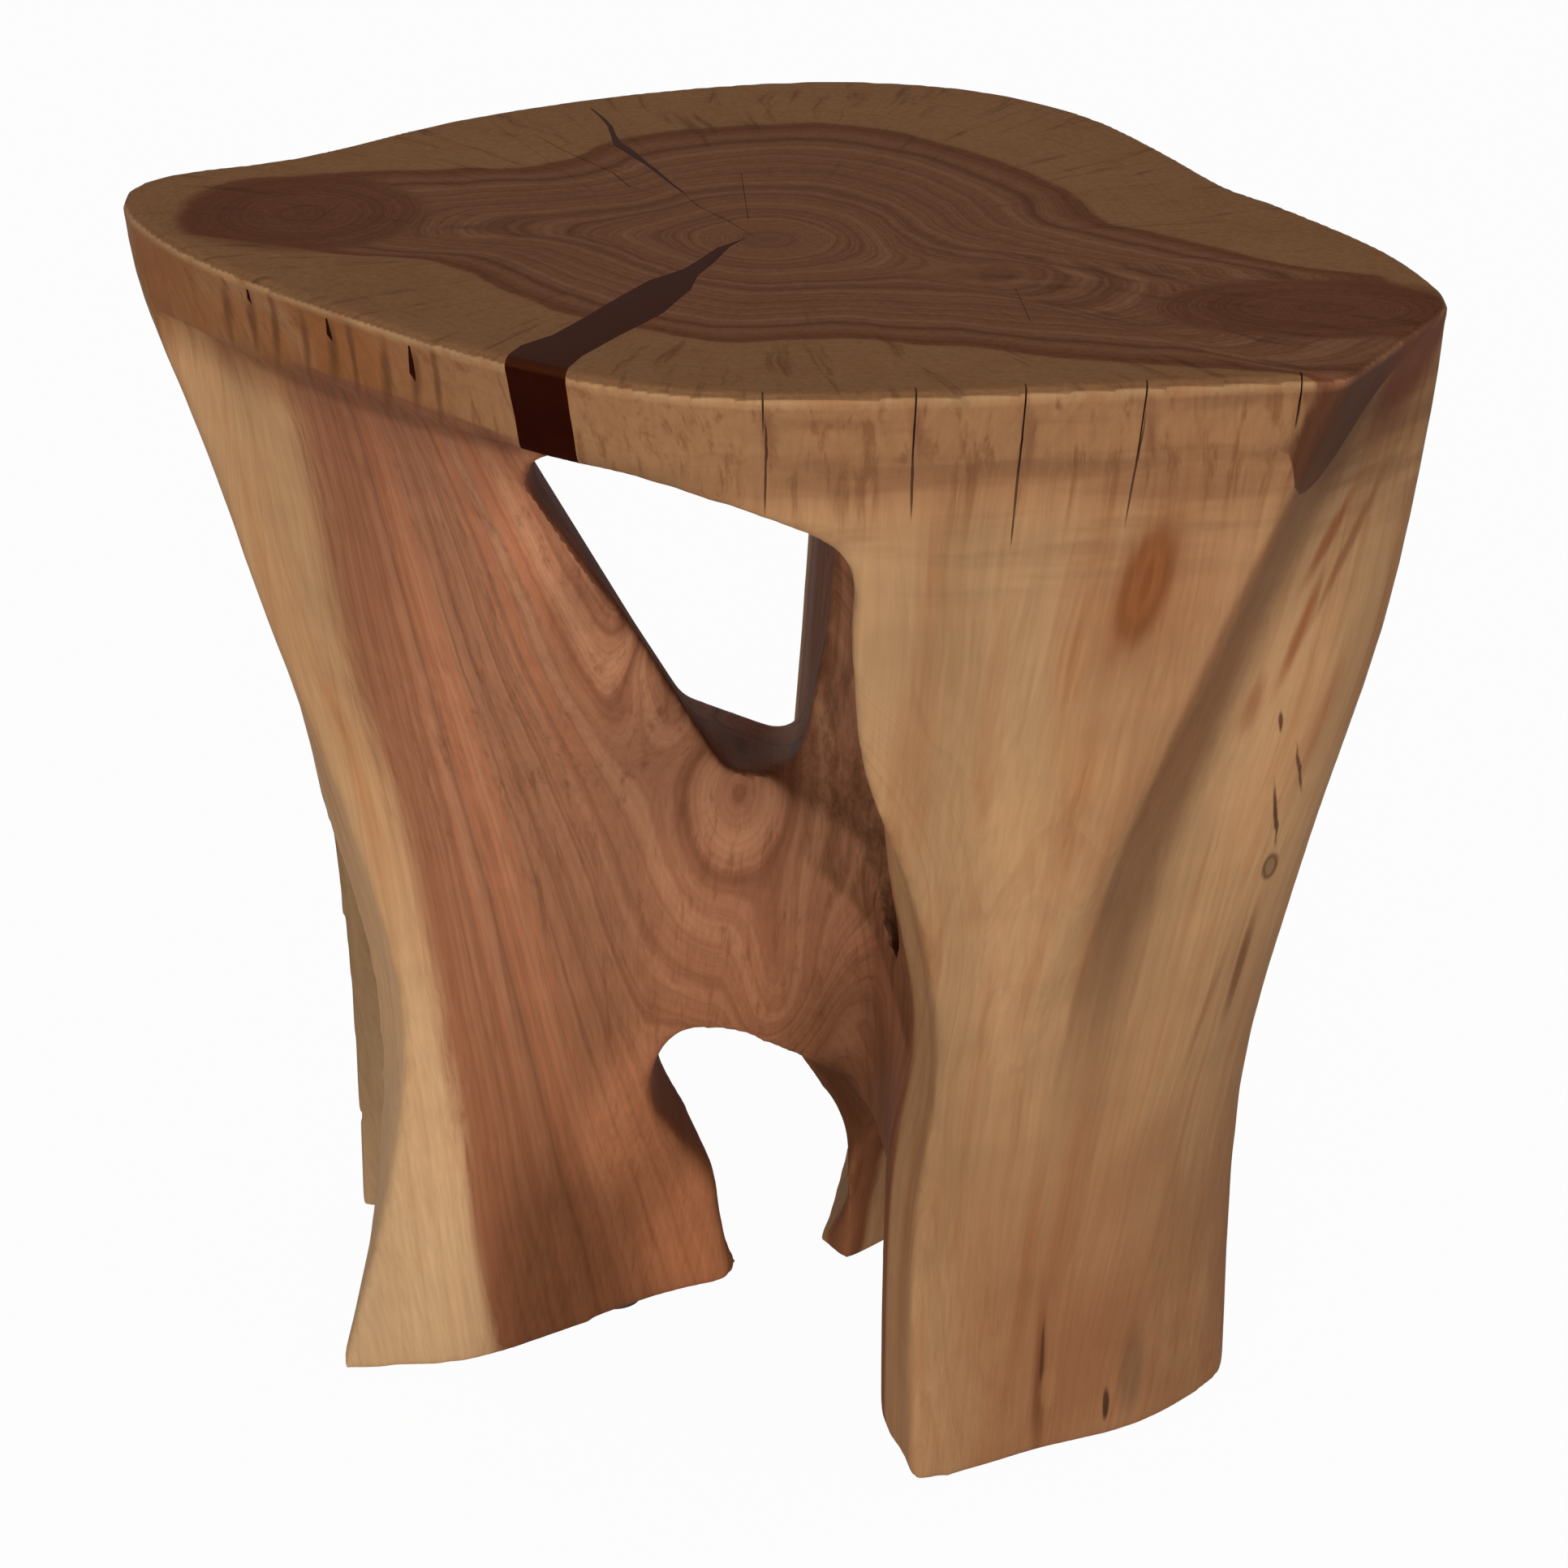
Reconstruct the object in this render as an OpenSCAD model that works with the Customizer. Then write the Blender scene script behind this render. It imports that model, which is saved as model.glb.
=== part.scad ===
// Stool carved from one log: a live-edge seat on four twisting legs that meet in a hub,
// with dark filler cast into the drying cracks and felt pads under the feet.
// The seat's rim sits inside a box centred on the origin, and the pads stand on z = 0.

/* [Stool] */
// Width of the seat, from the left tip to the right corner
seat_w = 475; // [420:5:540]
// Depth of the seat, front to back
seat_d = 402; // [360:2:460]
// Height of the carving, from its soles to its top face
carving_h = 460; // [420:5:500]
// Thickness of the overhanging rim at the front left
rim_t = 40; // [34:1:48]
// Rounding of the seat's top edge
edge_ease = 1.6; // [0.8:0.2:3]

/* [Cracks] */
// Width of the wide crack where it meets the rim
crack_w = 21; // [14:1:28]
// Depth of the wide crack's filler at the rim
crack_deep = 46; // [42:1:56]
// Width of the narrow crack in the back of the seat
back_crack_w = 5; // [3:0.5:8]
// Depth of the narrow crack's filler
back_crack_deep = 14; // [8:1:24]
// Width of the short cracks in the rim
rim_crack_w = 2.4; // [1.6:0.2:4]
// Height of the short cracks in the rim
rim_crack_h = 21; // [14:1:26]
// Drop from the top face to the short cracks
rim_crack_drop = 5; // [3:0.5:8]
// Gap between a filler and its crack
fill_gap = 0.1; // [0.05:0.05:0.3]

/* [Feet] */
// Diameter of a felt pad
pad_d = 22; // [16:1:26]
// Thickness of a felt pad, under the sole
pad_t = 3; // [2:0.5:5]

/* [Hidden] */

half_w = seat_w / 2;
half_d = seat_d / 2;
under_h = carving_h - rim_t;
top_z = carving_h + pad_t;
overrun = 6;
slice_t = 0.1;
spline_steps = 3;
level_steps = 4;

// Colours of the wood, the filler and the felt
wood = [0.63, 0.44, 0.30];
filler = [0.12, 0.03, 0.02];
felt = [0.16, 0.15, 0.14];

// Places below are in hundredths: x of half the seat's width, y of half its depth, z of the
// height under the rim. Heights over the rim's underside are in hundredths of the rim.
function x_at(share) = half_w * share / 100;
function y_at(share) = half_d * share / 100;
function z_at(share) =
    pad_t + (share <= 100 ? under_h * share : under_h * 100 + rim_t * (share - 100)) / 100;
function spot(p, height_share) = [x_at(p[0]), y_at(p[1]), z_at(height_share)];

// A smooth curve through four stations, running from b to c
function glide(a, b, c, d, t) =
    b + (c - a) * t / 2 + (a - 2.5 * b + 2 * c - d / 2) * t * t + (1.5 * (b - c) + (d - a) / 2) * t * t * t;

function closed_curve(p, steps) = [
    for (i = [0 : len(p) - 1], k = [0 : steps - 1])
        glide(p[(i + len(p) - 1) % len(p)], p[i], p[(i + 1) % len(p)], p[(i + 2) % len(p)], k / steps)
];

function open_curve(p, steps) = [
    for (i = [0 : len(p) - 2], k = [0 : steps - 1])
        glide(p[max(i - 1, 0)], p[i], p[i + 1], p[min(i + 2, len(p) - 1)], k / steps),
    p[len(p) - 1]
];

// Skin over a stack of rings that run anticlockwise, lowest ring first
module skin(rings) {
    n = len(rings[0]);
    last = len(rings) - 1;
    walls = [
        for (j = [0 : last - 1], i = [0 : n - 1])
            each let (a = j * n + i, b = j * n + (i + 1) % n) [[a, a + n, b + n], [a, b + n, b]]
    ];
    floor_face = [for (i = [0 : n - 1]) i];
    roof_face = [for (i = [n - 1 : -1 : 0]) last * n + i];
    polyhedron([for (ring = rings) each ring], concat([floor_face, roof_face], walls));
}

// Outline of the log at six heights. The points run anticlockwise from the left tip seen from
// above, by way of the front, and each one keeps its place on the log from level to level.
log_height_shares = [0, 31, 55, 79, 100, 200];
log_outline_shares = [
    [[-69, 7], [-70.5, -13], [-68, -30], [-42, -42], [-8, -55], [18, -65], [25, -63.5], [32, -59],
        [36, -56.5], [39, -54.5], [46, -50], [62, -41], [76, -23], [75, -11], [73, 0], [70, 10],
        [67, 19], [60, 40], [46, 60], [27, 75], [4, 80], [-29, 75], [-57, 65], [-71.5, 47],
        [-72.5, 30]],
    [[-63.5, 9], [-59, -10], [-53, -28], [-36, -48], [-8, -65], [17, -68.5], [26, -66], [33, -63],
        [36, -62], [39, -60.5], [48, -57], [63, -49], [76.5, -27], [75.5, -14], [73, -4], [69, 8],
        [66, 18], [58, 39], [45, 60], [27, 75], [5, 80], [-26, 75], [-51, 65], [-70, 48],
        [-72.5, 31]],
    [[-72.5, 11], [-67, -7], [-57, -38], [-34, -62], [-6, -75], [18, -74.5], [31, -73], [42, -71.5],
        [45, -70.5], [48, -67], [58, -60], [73, -50], [84.5, -31], [83, -16], [79, -3], [74, 11],
        [70, 20], [61, 42], [47, 63], [29, 79], [6, 84], [-25, 77], [-50, 66], [-67, 50],
        [-75.5, 33]],
    [[-83.5, 11], [-79, -12], [-60, -46], [-35, -70], [-8, -85], [20, -85], [41, -83], [58, -80],
        [62, -79], [65, -74], [76, -62], [88, -52], [94.5, -37], [92, -20], [84, -6], [77, 9],
        [71, 21], [61, 45], [50, 68], [30, 84], [7, 90], [-25, 80], [-49, 66], [-69, 46],
        [-82.5, 30]],
    [[-97, 13], [-84, -13], [-59, -45], [-34, -74], [-9, -91], [21, -93], [50, -90], [71, -87],
        [75, -86], [78, -81], [86, -65], [95, -51], [99.5, -41], [96, -23], [87, -9], [78, 9],
        [71, 21], [63, 48], [52, 73], [33, 90], [8, 97], [-24, 86], [-51, 67], [-74, 42], [-91, 30]],
    [[-99.85, 14], [-88, -17], [-63, -52], [-35, -82], [-9, -98.4], [21, -98.9], [54, -93.6],
        [77, -90], [81, -89], [84, -84], [91, -69], [98, -54], [99.95, -44], [96, -24], [90, -8],
        [80, 12], [73, 24], [64, 50], [53, 75], [34, 94.5], [8, 100], [-22, 90.5], [-51, 70.5],
        [-75, 43.5], [-95, 31]]
];

function log_rings() = open_curve([
    for (i = [0 : len(log_height_shares) - 1])
        closed_curve([for (p = log_outline_shares[i]) spot(p, log_height_shares[i])], spline_steps)
], level_steps);

function eased(ring, inset, z) = [
    for (p = ring) [p[0] * (1 - inset / half_w), p[1] * (1 - inset / half_d), z]
];

// The log before carving, with its top edge eased and its base at the soles
module log_blank() {
    rings = log_rings();
    last = len(rings) - 1;
    trunk = [for (i = [0 : last - 1]) rings[i]];
    skin(concat(trunk, [eased(rings[last], 0, top_z - edge_ease), eased(rings[last], edge_ease, top_z)]));
}

// The hollow between the two front legs. Each row follows the carved face of the left leg from
// left to right, then the web, the valley, and the right leg's flank out to its front edge.
front_height_shares = [-4, 14, 29, 45, 60, 74, 86, 95, 100, 106];
front_face_shares = [
    [[-97, -29], [-67, -22], [-50, -18], [-30, -2], [-14, 10], [6, 12], [23, -8], [19, -40],
        [24, -64], [26, -130]],
    [[-93, -25], [-62, -17], [-44, -17], [-26, -5], [-8, 9], [10, 18], [21, -10], [19, -42],
        [23, -65], [24, -130]],
    [[-90, -20], [-60, -13], [-40, -16], [-20, -9], [-1, 2], [16, 4], [20, -20], [20, -46],
        [24, -68], [24, -130]],
    [[-92, -14], [-62, -9], [-42, -16], [-21, -15], [-2, -7], [15, -5], [20, -25], [23, -50],
        [27, -73], [28, -130]],
    [[-100, -5], [-70, -5], [-50, -20], [-26, -23], [-5, -16], [13, -10], [19, -29], [19, -55],
        [23, -76], [23, -130]],
    [[-104, -2], [-79, -3], [-59, -24], [-36, -38], [-18, -38], [12, -15], [20, -35], [17, -60],
        [15, -80], [14, -130]],
    [[-112, 0], [-87, 0], [-67, -21], [-45, -42], [-25, -53], [8, -30], [16, -45], [15, -65],
        [13, -84], [12, -130]],
    [[-115, 6], [-90, 4], [-73, -20], [-52, -44], [-31, -63], [0, -45], [9, -60], [11, -75],
        [11, -90], [10, -130]],
    [[-116, 8], [-92, 6], [-76, -21], [-56, -47], [-34, -67], [-18, -60], [-14, -70], [-13, -78],
        [-12, -88], [-11, -130]],
    [[-116, 9], [-93, 7], [-77, -21], [-58, -47], [-36, -68], [-31, -68], [-29, -76], [-28, -80],
        [-27, -90], [-26, -130]]
];

module front_hollow() {
    rings = open_curve([
        for (i = [0 : len(front_height_shares) - 1])
            let (
                edge = [for (p = front_face_shares[i]) spot(p, front_height_shares[i])],
                face = open_curve(edge, spline_steps)
            )
            concat([for (k = [len(face) - 1 : -1 : 0]) face[k]], [
                [x_at(-120), y_at(-130), z_at(front_height_shares[i])]
            ])
    ], level_steps);
    skin(rings);
}

// A gouge's path: a chain of rounded stations, each [x, y, z, reach x, reach y, reach z]
module gouge(stations) {
    for (i = [0 : len(stations) - 2])
        hull() {
            gouge_mark(stations[i]);
            gouge_mark(stations[i + 1]);
        }
}

module gouge_mark(s) {
    translate([x_at(s[0]), y_at(s[1]), z_at(s[2])])
        scale([x_at(s[3]), y_at(s[4]), z_at(s[5])])
            sphere(1, $fn = 22);
}

// The upper window: four rounded corners at each station from front to back,
// each corner [x, z, radius], from the lower left one round to the upper left one
window_depth_shares = [-78, -42, -10, 24, 55, 90, 130];
window_corner_shares = [
    [[4, 72, 6], [3, 72, 6], [4, 92, 7], [-31, 98, 3]],
    [[2, 68, 7], [2, 67, 7], [6, 91, 8], [-29, 94.5, 5]],
    [[-4, 62.5, 4], [3, 61.5, 4], [6, 88, 10], [-30, 92, 7]],
    [[-11, 62.5, 4], [2.7, 59.5, 4], [2.2, 86, 8], [-37, 91.5, 8]],
    [[-25, 50, 9], [-4, 50, 9], [0, 86, 10], [-40, 87, 9]],
    [[-28, 44, 10], [-5, 44, 10], [-1, 86, 11], [-42, 87, 10]],
    [[-28, 42, 10], [-5, 42, 10], [-1, 86, 11], [-42, 87, 10]]
];

module window_station(i) {
    for (c = window_corner_shares[i])
        translate([x_at(c[0]), y_at(window_depth_shares[i]), z_at(c[1])])
            rotate([90, 0, 0])
                cylinder(r = x_at(c[2]), h = slice_t, center = true, $fn = 28);
}

module upper_window() {
    for (i = [0 : len(window_depth_shares) - 2])
        hull() {
            window_station(i);
            window_station(i + 1);
        }
}

// Hollows cut with a gouge, from the middle outwards
pocket_shares = [[8, -12, 73, 11, 20, 16], [26, -24, 68, 12, 27, 24], [36, -12, 68, 11, 22, 20]];
web_arch_shares = [
    [-12.5, -20, 26.5, 6, 15, 5.2], [-12.5, 26, 26.5, 6, 15, 5.2], [-7, -20, 24, 8, 15, 6.5],
    [-7, 26, 24, 8, 15, 6.5], [12, -25, 16, 11, 15, 5.6], [12, 6, 16, 11, 15, 5.6],
    [2, -25, 16, 11, 15, 5], [-4, 24, 16, 5, 15, 5]
];
web_gap_shares = [
    [2, -25, 16, 11, 15, 5], [-4, 24, 16, 5, 15, 5], [7, -25, 7, 11.5, 15, 7],
    [7, 6, 7, 11.5, 15, 7], [2.5, 26, 4, 5, 15, 7], [7, -30, -3, 11.5, 15, 8],
    [7, 6, -3, 11.5, 15, 8]
];
vault_shares = [[-14, 46, 12, 20, 24, 18], [5.5, 28, 10, 10, 18, 8.5]];
left_arch_shares = [
    [-84, 25, 0, 10, 20, 52], [-59, 27, 0, 12, 18, 42], [-38, 34, 0, 14, 15, 30],
    [-18, 45, 0, 14, 18, 26], [-6, 46, 0, 12, 15, 24]
];
rear_arch_shares = [
    [7, 36, 8.5, 9, 18, 5], [7, 62, 8, 9, 18, 6], [-2, 45, 0, 10, 15, 8], [-14, 38, 22, 18, 18, 9],
    [8, 110, 3, 10, 15, 9], [-22, 110, 0, 12, 15, 8], [-12, 110, 25, 21, 15, 10]
];
right_arch_shares = [
    [18, 1, 0, 8, 22, 20], [35, 14, 0, 10, 29, 27], [60, 18, 0, 12, 32, 32],
    [92, 18, 0, 12, 30, 38]
];
rear_hollow_shares = [
    [-12, 100, 10, 22, 34, 24], [-16, 96, 45, 26, 42, 26], [-20, 100, 72, 26, 40, 20]
];
right_hollow_shares = [
    [92, 30, 8, 20, 24, 20], [98, 34, 45, 20, 26, 24], [102, 38, 80, 20, 24, 12]
];

module gouge_hull(marks) {
    hull()
        for (s = marks)
            gouge_mark(s);
}

module lower_arches() {
    gouge_hull(web_arch_shares);
    gouge_hull(web_gap_shares);
    gouge(vault_shares);
    gouge(left_arch_shares);
    gouge_hull(rear_arch_shares);
    gouge(right_arch_shares);
}

// The carved log with no cracks
module carving() {
    difference() {
        log_blank();
        front_hollow();
        upper_window();
        gouge(pocket_shares);
        lower_arches();
        gouge(rear_hollow_shares);
        gouge(right_hollow_shares);
    }
}

// The wide crack: a chain of short wedges from the heart to the rim, each [x, y, width]
crack_path_shares = [
    [-4, -11, 3], [-9, -29, 22], [-11, -40, 68], [-19, -52, 82], [-24, -64, 82], [-28, -72, 92],
    [-32, -83, 100], [-38, -102, 104]
];

module crack_wedges(path, width, deep, gap) {
    for (i = [0 : len(path) - 2])
        hull()
            for (s = [path[i], path[i + 1]])
                translate([x_at(s[0]), y_at(s[1]), top_z - deep + gap])
                    cylinder(d = width * s[2] / 100 - 2 * gap, h = deep + overrun, $fn = 12);
}

module wide_crack(gap = 0) {
    crack_wedges(crack_path_shares, crack_w, crack_deep, gap);
}

// The narrow crack in the back of the seat
back_path_shares = [
    [-29, 78, 16], [-27, 70, 40], [-25, 60, 70], [-23, 50, 100], [-21, 44, 90], [-19, 38, 50],
    [-17, 32, 34], [-15, 26, 24], [-12, 18, 18]
];

module back_crack(gap = 0) {
    crack_wedges(back_path_shares, back_crack_w, back_crack_deep, gap);
}

// Short cracks in the rim, each [x, y] where it meets the edge. They run straight back, from a
// little in front of that place to a little behind it.
rim_crack_shares = [[-76, -38], [-63, -53], [-50, -67]];
rim_reach_shares = [-8, 7];

module rim_cracks(gap = 0) {
    for (p = rim_crack_shares)
        hull()
            for (back = rim_reach_shares)
                translate([x_at(p[0]), y_at(p[1] + back), top_z - rim_crack_drop - gap])
                    mirror([0, 0, 1])
                        cylinder(d = rim_crack_w - 2 * gap, h = rim_crack_h - 2 * gap, $fn = 10);
}

module carved_body() {
    color(wood)
        difference() {
            carving();
            wide_crack();
            back_crack();
            rim_cracks();
        }
}

module front_crack_fill() {
    color(filler)
        intersection() {
            carving();
            wide_crack(fill_gap);
        }
}

module back_crack_fill() {
    color(filler)
        intersection() {
            carving();
            back_crack(fill_gap);
        }
}

module rim_crack_fills() {
    color(filler)
        intersection() {
            carving();
            rim_cracks(fill_gap);
        }
}

// Felt pads, two under each foot
front_left_pad_shares = [[-60, -8], [-26, 12]];
front_right_pad_shares = [[32, -45], [62, -25]];
back_left_pad_shares = [[-56, 54], [-38, 62]];
back_right_pad_shares = [[22, 47], [34, 59]];

module pads(places) {
    color(felt)
        for (p = places)
            translate([x_at(p[0]), y_at(p[1]), 0])
                cylinder(d = pad_d, h = pad_t);
}

module front_left_pads() {
    pads(front_left_pad_shares);
}

module front_right_pads() {
    pads(front_right_pad_shares);
}

module back_left_pads() {
    pads(back_left_pad_shares);
}

module back_right_pads() {
    pads(back_right_pad_shares);
}

carved_body();
front_crack_fill();
back_crack_fill();
rim_crack_fills();
front_left_pads();
front_right_pads();
back_left_pads();
back_right_pads();
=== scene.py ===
import math

import bpy
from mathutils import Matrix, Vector


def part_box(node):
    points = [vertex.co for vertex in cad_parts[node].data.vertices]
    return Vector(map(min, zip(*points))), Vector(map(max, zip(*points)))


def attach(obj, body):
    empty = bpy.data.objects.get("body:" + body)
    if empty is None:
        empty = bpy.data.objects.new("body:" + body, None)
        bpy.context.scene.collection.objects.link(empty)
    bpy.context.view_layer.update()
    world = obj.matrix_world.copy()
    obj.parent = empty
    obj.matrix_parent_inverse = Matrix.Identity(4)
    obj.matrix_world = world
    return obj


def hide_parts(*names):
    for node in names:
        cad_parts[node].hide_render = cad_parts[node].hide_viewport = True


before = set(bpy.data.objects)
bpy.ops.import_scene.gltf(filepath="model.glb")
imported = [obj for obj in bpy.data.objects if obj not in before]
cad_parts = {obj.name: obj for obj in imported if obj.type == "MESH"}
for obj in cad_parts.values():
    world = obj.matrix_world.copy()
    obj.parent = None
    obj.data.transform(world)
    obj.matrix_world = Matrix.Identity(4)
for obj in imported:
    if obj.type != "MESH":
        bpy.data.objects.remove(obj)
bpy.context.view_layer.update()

# Places are in metres in the model's own frame: +X right, +Y back, +Z up from the floor.
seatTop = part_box("carved_body")[1].z


def deselectAll():
    if bpy.context.object and bpy.context.object.mode != "OBJECT":
        bpy.ops.object.mode_set(mode="OBJECT")
    bpy.ops.object.select_all(action="DESELECT")


def choose(*objs):
    deselectAll()
    for obj in objs:
        obj.select_set(True)
    bpy.context.view_layer.objects.active = objs[0]


def applyModifier(obj, kind, **settings):
    choose(obj)
    mod = obj.modifiers.new(kind.title(), kind)
    for key, value in settings.items():
        setattr(mod, key, value)
    bpy.ops.object.modifier_apply(modifier=mod.name)


def copyPiece(source, name):
    deselectAll()
    obj = bpy.data.objects.new(name, source.data.copy())
    bpy.context.scene.collection.objects.link(obj)
    choose(obj)
    return obj


def joinPieces(pieces):
    choose(*pieces)
    bpy.ops.object.join()
    return pieces[0]


def removePiece(obj):
    deselectAll()
    bpy.data.objects.remove(obj)


def triangleCount(obj):
    return sum(len(p.vertices) - 2 for p in obj.data.polygons)


carving = {
    "voxel": 0.0024, "softSteps": 20, "edgeSteps": 2, "edgeBand": 0.007, "tipSteps": 30, "tipReach": (0.07, 0.08),
    "softness": 0.5, "triangles": 165000, "plugSwell": 0.00016, "overrun": 0.01, "weld": 0.00001,
}


def mergeLooseTriangles(obj):
    choose(obj)
    bpy.ops.object.mode_set(mode="EDIT")
    bpy.ops.mesh.select_all(action="SELECT")
    bpy.ops.mesh.remove_doubles(threshold=carving["weld"])
    bpy.ops.object.mode_set(mode="OBJECT")


def markPart(obj, name, test):
    group = obj.vertex_groups.new(name=name)
    group.add([v.index for v in obj.data.vertices if test(v.co)], 1.0, "REPLACE")


def softenPart(obj, name):
    applyModifier(obj, "SMOOTH", factor=carving["softness"], iterations=carving[name + "Steps"], vertex_group=name)


def carveWholeLog():
    whole = copyPiece(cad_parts["carved_body"], "carvedWood")
    mergeLooseTriangles(whole)
    for node in ("front_crack_fill", "back_crack_fill", "rim_crack_fills"):
        plug = copyPiece(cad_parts[node], "plug")
        mergeLooseTriangles(plug)
        # closes the gap to the wood
        applyModifier(plug, "DISPLACE", strength=carving["plugSwell"], mid_level=0.0)
        joinPieces([whole, plug])
    applyModifier(whole, "REMESH", mode="VOXEL", voxel_size=carving["voxel"])
    edgeLine = seatTop - carving["edgeBand"]
    markPart(whole, "soft", lambda place: place.z < edgeLine)
    markPart(whole, "edge", lambda place: place.z >= edgeLine)
    softenPart(whole, "soft")
    softenPart(whole, "edge")
    # the inner toes are worn round
    side, height = carving["tipReach"]
    markPart(whole, "tip", lambda place: place.z < height and abs(place.x) < side)
    softenPart(whole, "tip")
    applyModifier(whole, "DECIMATE", ratio=min(1.0, carving["triangles"] / triangleCount(whole)))
    whole.vertex_groups.clear()
    print("log carved:", triangleCount(whole), "triangles")
    return whole


def shiftOutline(points, amount):
    shifted = []
    count = len(points)
    for i in range(count):
        before, here, after = (Vector(points[(i + k) % count]) for k in (-1, 0, 1))
        along = (after - before).normalized()
        shifted.append(here + Vector((along.y, -along.x)) * amount)
    return shifted


def extrudeOutline(name, points, push):
    deselectAll()
    bpy.ops.mesh.primitive_circle_add(vertices=len(points), fill_type="NGON")
    solid = bpy.context.object
    solid.name = name
    for vert, point in zip(solid.data.vertices, points):
        vert.co = point
    bpy.ops.object.mode_set(mode="EDIT")
    bpy.ops.mesh.select_all(action="SELECT")
    bpy.ops.mesh.extrude_region_move(TRANSFORM_OT_translate={"value": push})
    bpy.ops.mesh.select_all(action="SELECT")
    bpy.ops.mesh.normals_make_consistent(inside=False)
    bpy.ops.object.mode_set(mode="OBJECT")
    return solid


# Left and right bank of the wide crack on the top face, from its tip to past the rim
wideCrack = {
    "left": [(-0.0055, -0.0215), (-0.0160, -0.0340), (-0.0225, -0.0495), (-0.0275, -0.0600), (-0.0390, -0.0730),
             (-0.0480, -0.0905), (-0.0595, -0.1150), (-0.0700, -0.1355), (-0.0800, -0.1465), (-0.0835, -0.1560),
             (-0.0850, -0.1650), (-0.0900, -0.1900)],
    "right": [(-0.0560, -0.1950), (-0.0640, -0.1780), (-0.0630, -0.1705), (-0.0590, -0.1580), (-0.0480, -0.1370),
              (-0.0385, -0.1205), (-0.0330, -0.1100), (-0.0275, -0.0930), (-0.0245, -0.0850), (-0.0222, -0.0680),
              (-0.0170, -0.0530), (-0.0115, -0.0330)],
    "depth": 0.0462,
    "clearance": 0.00006,
}

# The narrow crack in the back of the seat
backCrack = {
    "left": [(-0.0690, 0.1570), (-0.0640, 0.1420), (-0.0610, 0.1300), (-0.0590, 0.1150), (-0.0575, 0.1020),
             (-0.0510, 0.0880), (-0.0440, 0.0730), (-0.0360, 0.0520), (-0.0300, 0.0370)],
    "right": [(-0.0282, 0.0355), (-0.0340, 0.0500), (-0.0400, 0.0680), (-0.0450, 0.0810), (-0.0500, 0.0960),
              (-0.0545, 0.1050), (-0.0570, 0.1160), (-0.0590, 0.1300), (-0.0625, 0.1420), (-0.0680, 0.1565)],
    "depth": 0.0142,
    "clearance": 0.00005,
}


def makeCrackCutter(crack, inset):
    low = seatTop - crack["depth"] + inset
    outline = shiftOutline(crack["left"] + crack["right"], -inset)
    push = (0, 0, seatTop + carving["overrun"] - low)
    return extrudeOutline("crackCutter", [(x, y, low) for x, y in outline], push)


def makeBlade(start, end, profile):
    push = Vector(end) - Vector(start)
    side = Vector((push.y, -push.x, 0)).normalized()
    points = [Vector(start) + side * across + Vector((0, 0, up)) for across, up in profile]
    return extrudeOutline("blade", points, push)


# Short filled cracks in the rim, each where it meets the edge, cut straight back
rimCracks = {
    "places": [(-0.1805, -0.0764), (-0.1496, -0.1065), (-0.1188, -0.1347)],
    "reach": (-0.016, 0.014),
    "width": 0.0024,
    "height": 0.021,
    "middle": 0.4475,
    "profile": [(-0.25, 1.0), (0.3, 1.0), (0.8, 0.3), (1.0, -0.3), (0.5, -1.0), (-0.2, -1.0), (-0.9, -0.4),
                (-0.7, 0.3)],
    "clearance": 0.00005,
}


def rimBlades(inset):
    blades = []
    wide, tall = rimCracks["width"] / 2 - inset, rimCracks["height"] / 2 - inset
    profile = [(wide * across, tall * up) for across, up in rimCracks["profile"]]
    for x, y in rimCracks["places"]:
        ends = [(x, y + reach, rimCracks["middle"]) for reach in rimCracks["reach"]]
        blades.append(makeBlade(ends[0], ends[1], profile))
    return joinPieces(blades)


# Open drying splits from the front edge down: X, Y at the edge, sideways lean and drop of the tip
rimSplits = {
    "splits": [(0.001, -0.198, 0.0006, 0.046), (0.051, -0.194, -0.0018, 0.047), (0.087, -0.190, -0.0035, 0.058),
               (0.127, -0.186, -0.0055, 0.052), (0.178, -0.178, -0.0015, 0.018)],
    "width": 0.0007,
    "depth": 0.004,
    "overrun": (0.02, 0.004),
    "bendShare": 0.4,
}


def splitBlades():
    blades = []
    wide, bend = rimSplits["width"] / 2, rimSplits["bendShare"]
    outside, above = rimSplits["overrun"]
    for x, y, lean, drop in rimSplits["splits"]:
        elbow = (lean * bend, -drop * bend)
        profile = [(-wide, above), (wide, above), (elbow[0] + wide, elbow[1]), (lean, -drop),
                   (elbow[0] - wide * bend, elbow[1])]
        blades.append(makeBlade((x, y - outside, seatTop), (x, y + rimSplits["depth"], seatTop), profile))
    return joinPieces(blades)


# Hairline checks in the top face, each a chain of short straight cuts
hairlines = {
    "width": 0.0006,
    "depth": 0.002,
    "tipShare": 0.35,
    "routes": [
        [(-0.1109, 0.1461), (-0.0639, 0.0404)],
        [(-0.0901, 0.1198), (-0.0773, 0.0964), (-0.0700, 0.0849), (-0.0563, 0.0635), (-0.0496, 0.0448),
         (-0.0375, 0.0328)],
        [(-0.0292, 0.0350), (-0.0235, 0.0190), (-0.0124, 0.0000), (-0.0016, -0.0226)],
        [(-0.0082, 0.0635), (-0.0050, 0.0021)],
        [(-0.1547, 0.0242), (-0.1651, -0.0072)],
        [(0.0884, -0.0823), (0.0918, -0.1202)],
    ],
}


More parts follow.
